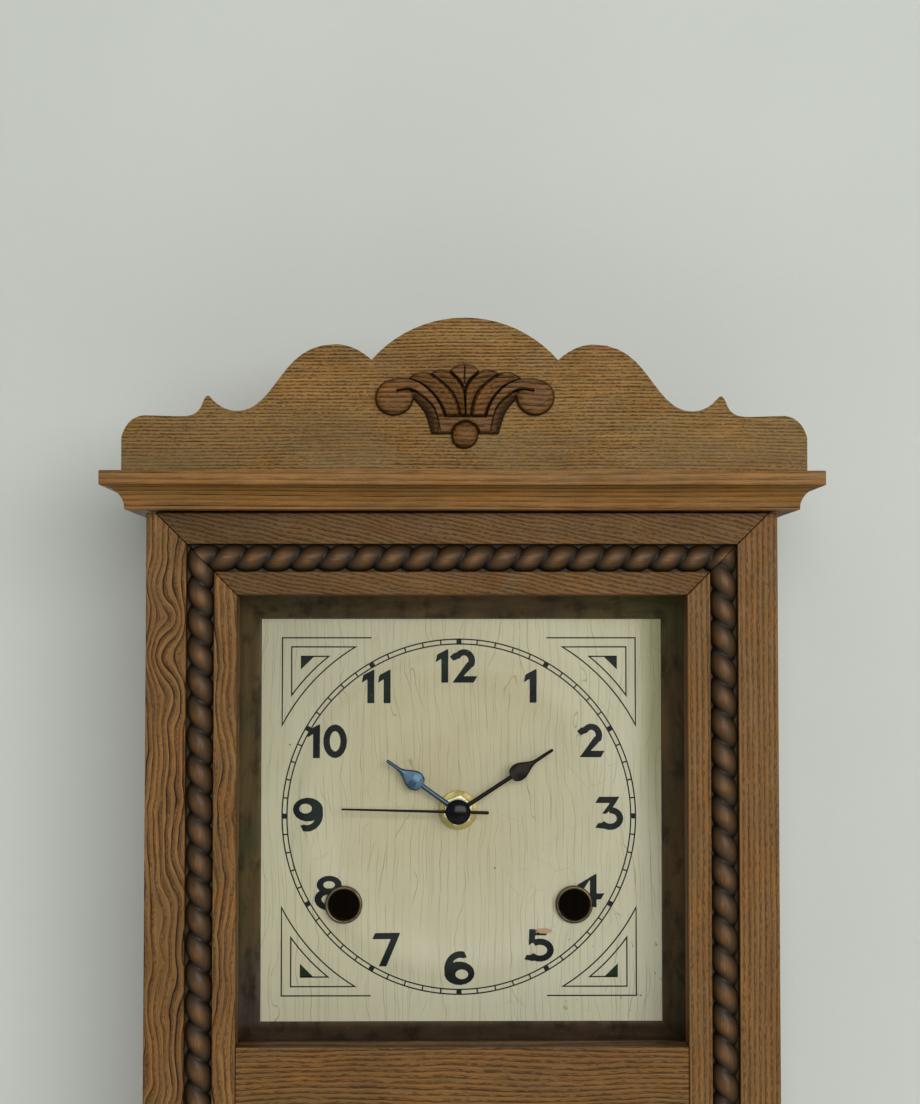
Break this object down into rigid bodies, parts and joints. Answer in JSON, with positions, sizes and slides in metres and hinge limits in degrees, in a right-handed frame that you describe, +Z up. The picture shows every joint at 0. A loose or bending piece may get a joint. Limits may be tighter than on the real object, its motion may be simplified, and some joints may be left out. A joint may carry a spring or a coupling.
{
  "type": "pendulum wall clock",
  "caption": "Box-shaped wooden wall clock with carved crown, cornice, rope-moulded glazed door, square embossed dial and a swinging pendulum.",
  "frame": {"origin": "hanging point: the top of the keyhole slot, where the wall nail bears, on the plane of the case's back", "axes": "+X to the viewer's right, +Y into the wall (the clock faces -Y), +Z up"},
  "size_m": [0.2938, 0.128, 0.5412],
  "materials": {
    "case_wood": "aged oiled hardwood, straight grain",
    "door_wood": "aged oiled hardwood, figured grain",
    "crown_wood": "paler aged ring-porous hardwood, horizontal grain",
    "carved_wood": "dark reddish stained hardwood, carved",
    "rope_wood": "dark stained turned rope moulding",
    "raw_wood": "unfinished softwood",
    "hanger_steel": "dull zinc-plated steel",
    "hinge_brass": "tarnished brass",
    "bezel_brass": "very dark tarnished brass, mottled",
    "grommet_brass": "worn brass",
    "nut_brass": "bright machined brass",
    "dial_paint": "cream paint over zinc sheet, fine upright crackle",
    "movement_plastic": "black moulded plastic",
    "wheel_plastic": "white moulded acetal",
    "rotor_steel": "bare steel",
    "coil_copper": "enamelled copper wire",
    "battery_skin": "plain printed sleeve",
    "hand_steel": "blued steel",
    "hand_black": "satin black paint",
    "pendulum_brass": "lacquered brass, lightly aged",
    "pane_glass": "old clear window glass"
  },
  "bodies": {
    "case": {"back_board": "raw_wood", "case_side_left": "case_wood", "case_side_right": "case_wood", "top_board": "case_wood", "bottom_board": "case_wood", "hanger_plate": "hanger_steel", "cornice_front": "case_wood", "cornice_return_left": "case_wood", "cornice_return_right": "case_wood", "base_front": "case_wood", "base_return_left": "case_wood", "base_return_right": "case_wood", "crown_board": "crown_wood", "crown_carving": "carved_wood", "hinge_case_upper": "hinge_brass", "hinge_case_lower": "hinge_brass", "latch_post": "hinge_brass", "dial_plate": "dial_paint", "winding_grommet_left": "grommet_brass", "winding_grommet_right": "grommet_brass", "dial_batten_left": "raw_wood", "dial_batten_right": "raw_wood", "dial_bezel": "bezel_brass", "movement_front_shell": "movement_plastic", "movement_back_cover": "movement_plastic", "stator": "rotor_steel", "drive_coil": "coil_copper", "battery": "battery_skin", "dial_washer": "nut_brass", "hex_nut": "nut_brass"},
    "door": {"door_stile_left": "door_wood", "door_stile_right": "door_wood", "door_rail_top": "door_wood", "door_rail_bottom": "door_wood", "door_rail_middle": "door_wood", "rope_left": "rope_wood", "rope_right": "rope_wood", "rope_top": "rope_wood", "rope_bottom": "rope_wood", "glass_upper": "pane_glass", "glass_lower": "pane_glass", "hinge_door_upper": "hinge_brass", "hinge_door_lower": "hinge_brass", "latch_stud": "hinge_brass"},
    "latch": {"latch_hook": "hinge_brass"},
    "second_arbor": {"second_wheel": "wheel_plastic", "second_hand": "hand_black"},
    "rotor_arbor": {"rotor": "rotor_steel"},
    "intermediate_arbor": {"intermediate_wheel": "wheel_plastic"},
    "third_arbor": {"third_wheel": "wheel_plastic"},
    "centre_arbor": {"centre_wheel": "wheel_plastic", "minute_hand": "hand_black"},
    "motion_arbor": {"minute_wheel": "wheel_plastic", "set_knob": "movement_plastic"},
    "hour_pipe": {"hour_wheel": "wheel_plastic", "hour_hand": "hand_steel"},
    "pendulum": {"pendulum_hanger": "pendulum_brass", "pendulum_rod": "pendulum_brass", "pendulum_bob": "pendulum_brass", "rating_nut": "pendulum_brass"}
  },
  "joints": [
    {"name": "door_hinge", "type": "hinge", "parent": "case", "child": "door", "pos_m": [-0.129, -0.0884, -0.1173], "axis": [0, 0, -1], "range_deg": [0, 110]},
    {"name": "latch_pivot", "type": "hinge", "parent": "case", "child": "latch", "pos_m": [0.1313, -0.08, -0.3125], "axis": [-1, 0, 0], "range_deg": [0, 90]},
    {"name": "second_spin", "type": "hinge", "parent": "case", "child": "second_arbor", "pos_m": [-0.0016, -0.08, -0.11475], "axis": [0, 1, 0], "continuous": true},
    {"name": "rotor_spin", "type": "hinge", "parent": "case", "child": "rotor_arbor", "pos_m": [-0.01608, -0.066, -0.10639], "axis": [0, 1, 0], "continuous": true},
    {"name": "intermediate_spin", "type": "hinge", "parent": "case", "child": "intermediate_arbor", "pos_m": [-0.00984, -0.066, -0.10999], "axis": [0, 1, 0], "continuous": true},
    {"name": "third_spin", "type": "hinge", "parent": "case", "child": "third_arbor", "pos_m": [0.00299, -0.066, -0.1068], "axis": [0, 1, 0], "continuous": true},
    {"name": "minute_spin", "type": "hinge", "parent": "case", "child": "centre_arbor", "pos_m": [-0.0016, -0.08, -0.11475], "axis": [0, 1, 0], "continuous": true},
    {"name": "motion_spin", "type": "hinge", "parent": "case", "child": "motion_arbor", "pos_m": [0.0034, -0.066, -0.12341], "axis": [0, 1, 0], "continuous": true},
    {"name": "hour_spin", "type": "hinge", "parent": "case", "child": "hour_pipe", "pos_m": [-0.0016, -0.08, -0.11475], "axis": [0, 1, 0], "continuous": true},
    {"name": "pendulum_swing", "type": "hinge", "parent": "case", "child": "pendulum", "pos_m": [-0.0016, -0.066, -0.16875], "axis": [0, 1, 0], "range_deg": [-6, 6]}
  ],
  "couplings": [
    {"joint": "intermediate_spin", "follows": "second_spin", "ratio": -6},
    {"joint": "rotor_spin", "follows": "second_spin", "ratio": 30},
    {"joint": "third_spin", "follows": "second_spin", "ratio": -0.13333},
    {"joint": "minute_spin", "follows": "second_spin", "ratio": 0.016667},
    {"joint": "motion_spin", "follows": "second_spin", "ratio": -0.0055556},
    {"joint": "hour_spin", "follows": "second_spin", "ratio": 0.0013889}
  ]
}
